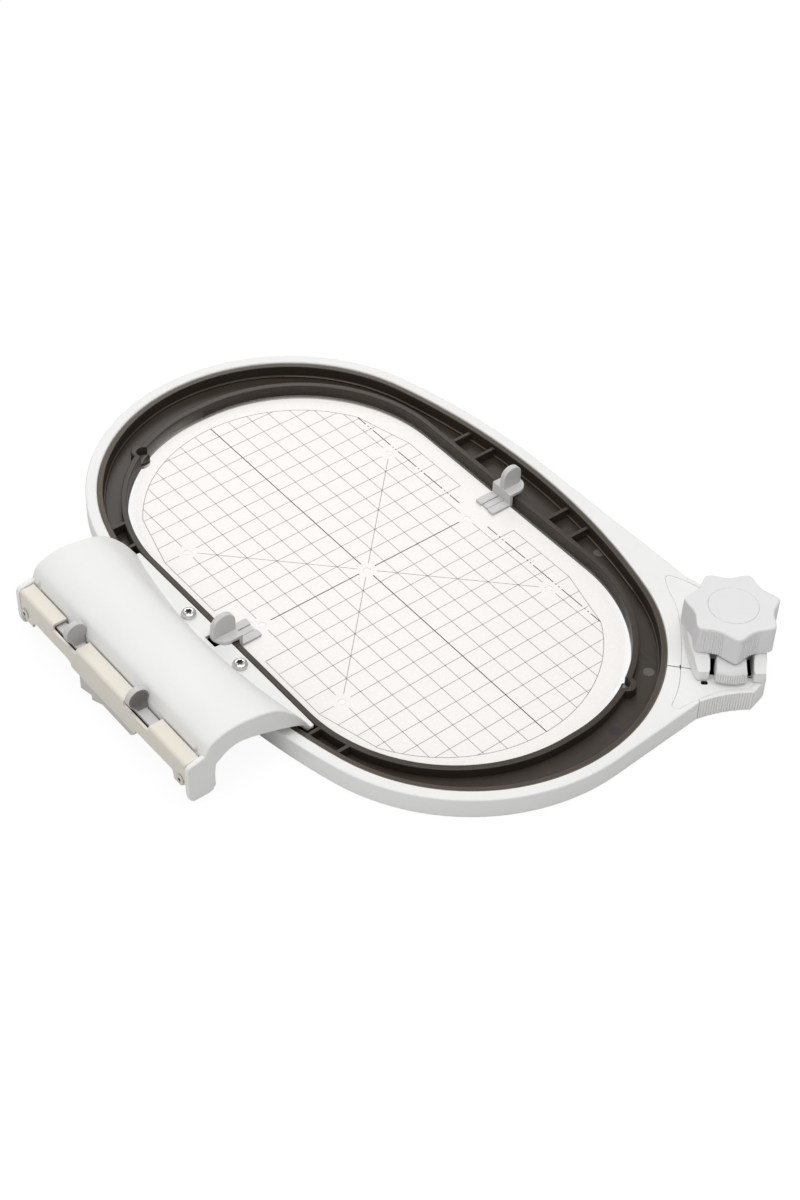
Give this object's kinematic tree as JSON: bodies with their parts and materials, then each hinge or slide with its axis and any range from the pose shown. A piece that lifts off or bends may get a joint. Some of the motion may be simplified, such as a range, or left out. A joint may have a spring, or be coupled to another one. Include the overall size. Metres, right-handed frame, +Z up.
{
  "type": "machine embroidery hoop",
  "caption": "Oval embroidery hoop for a sewing machine: split outer ring with a twist-lock knob, dark inner ring with a moulded coupling arm and release levers, and a clear gridded template.",
  "frame": {"origin": "centre of the oval rings on the fabric plane, which is the underside of the clear template", "axes": "+X along the hoop to the clamp end, -Y towards the embroidery machine, +Z up off the fabric"},
  "size_m": [0.3329, 0.2667, 0.0359],
  "materials": {
    "white_plastic": "fine moulded satin, cool off-white",
    "grey_white_plastic": "fine moulded satin, light grey-white",
    "dark_plastic": "satin dark warm grey",
    "clear_plate": "milky clear plate with a printed grid",
    "light_grey_plastic": "satin light grey",
    "beige_rail": "semi-gloss beige paint on bent sheet",
    "nickel": "bright nickel plate",
    "steel": "plain steel"
  },
  "bodies": {
    "outer_hoop": {"outer_ring": "white_plastic", "clamp_cover_near": "white_plastic", "clamp_cover_far": "white_plastic", "grip_pad_near": "white_plastic", "grip_pad_far": "white_plastic", "clamp_fork": "white_plastic", "pull_block": "grey_white_plastic", "axle_screw": "steel", "axle_washer": "steel", "fork_screw_1": "steel", "fork_screw_2": "steel", "block_screw": "steel"},
    "twist_knob": {"knob": "grey_white_plastic", "knob_cap": "grey_white_plastic"},
    "inner_hoop": {"inner_ring": "dark_plastic", "coupling_arm": "white_plastic", "arm_screw_1": "nickel", "arm_screw_2": "nickel", "coupling_rail": "beige_rail", "rail_screw_1": "nickel", "rail_screw_2": "nickel", "slide_housing": "light_grey_plastic", "lever_spring_1": "steel", "lever_spring_2": "steel"},
    "lever_1": {"release_lever_1": "light_grey_plastic"},
    "lever_2": {"release_lever_2": "light_grey_plastic"},
    "template_body": {"template": "clear_plate", "template_grip_1": "light_grey_plastic", "template_grip_2": "light_grey_plastic"}
  },
  "joints": [
    {"name": "knob_turn", "type": "hinge", "parent": "outer_hoop", "child": "twist_knob", "pos_m": [0.14163, 0.09045, 0.02], "axis": [0, 0, 1], "range_deg": [0, 180]},
    {"name": "inner_hoop_lift", "type": "slide", "parent": "outer_hoop", "child": "inner_hoop", "axis": [0, 0, 1], "range_m": [0, 0.04]},
    {"name": "template_lift", "type": "slide", "parent": "inner_hoop", "child": "template_body", "axis": [0, 0, 1], "range_m": [0, 0.03]},
    {"name": "lever_1_press", "type": "slide", "parent": "inner_hoop", "child": "lever_1", "axis": [1, 0, 0], "range_m": [0, 0.0035], "stiffness_N_per_m": 300, "springref_m": -0.002, "deforming": ["lever_spring_1"]},
    {"name": "lever_2_press", "type": "slide", "parent": "inner_hoop", "child": "lever_2", "axis": [-1, 0, 0], "range_m": [0, 0.0035], "stiffness_N_per_m": 300, "springref_m": -0.002, "deforming": ["lever_spring_2"]}
  ]
}
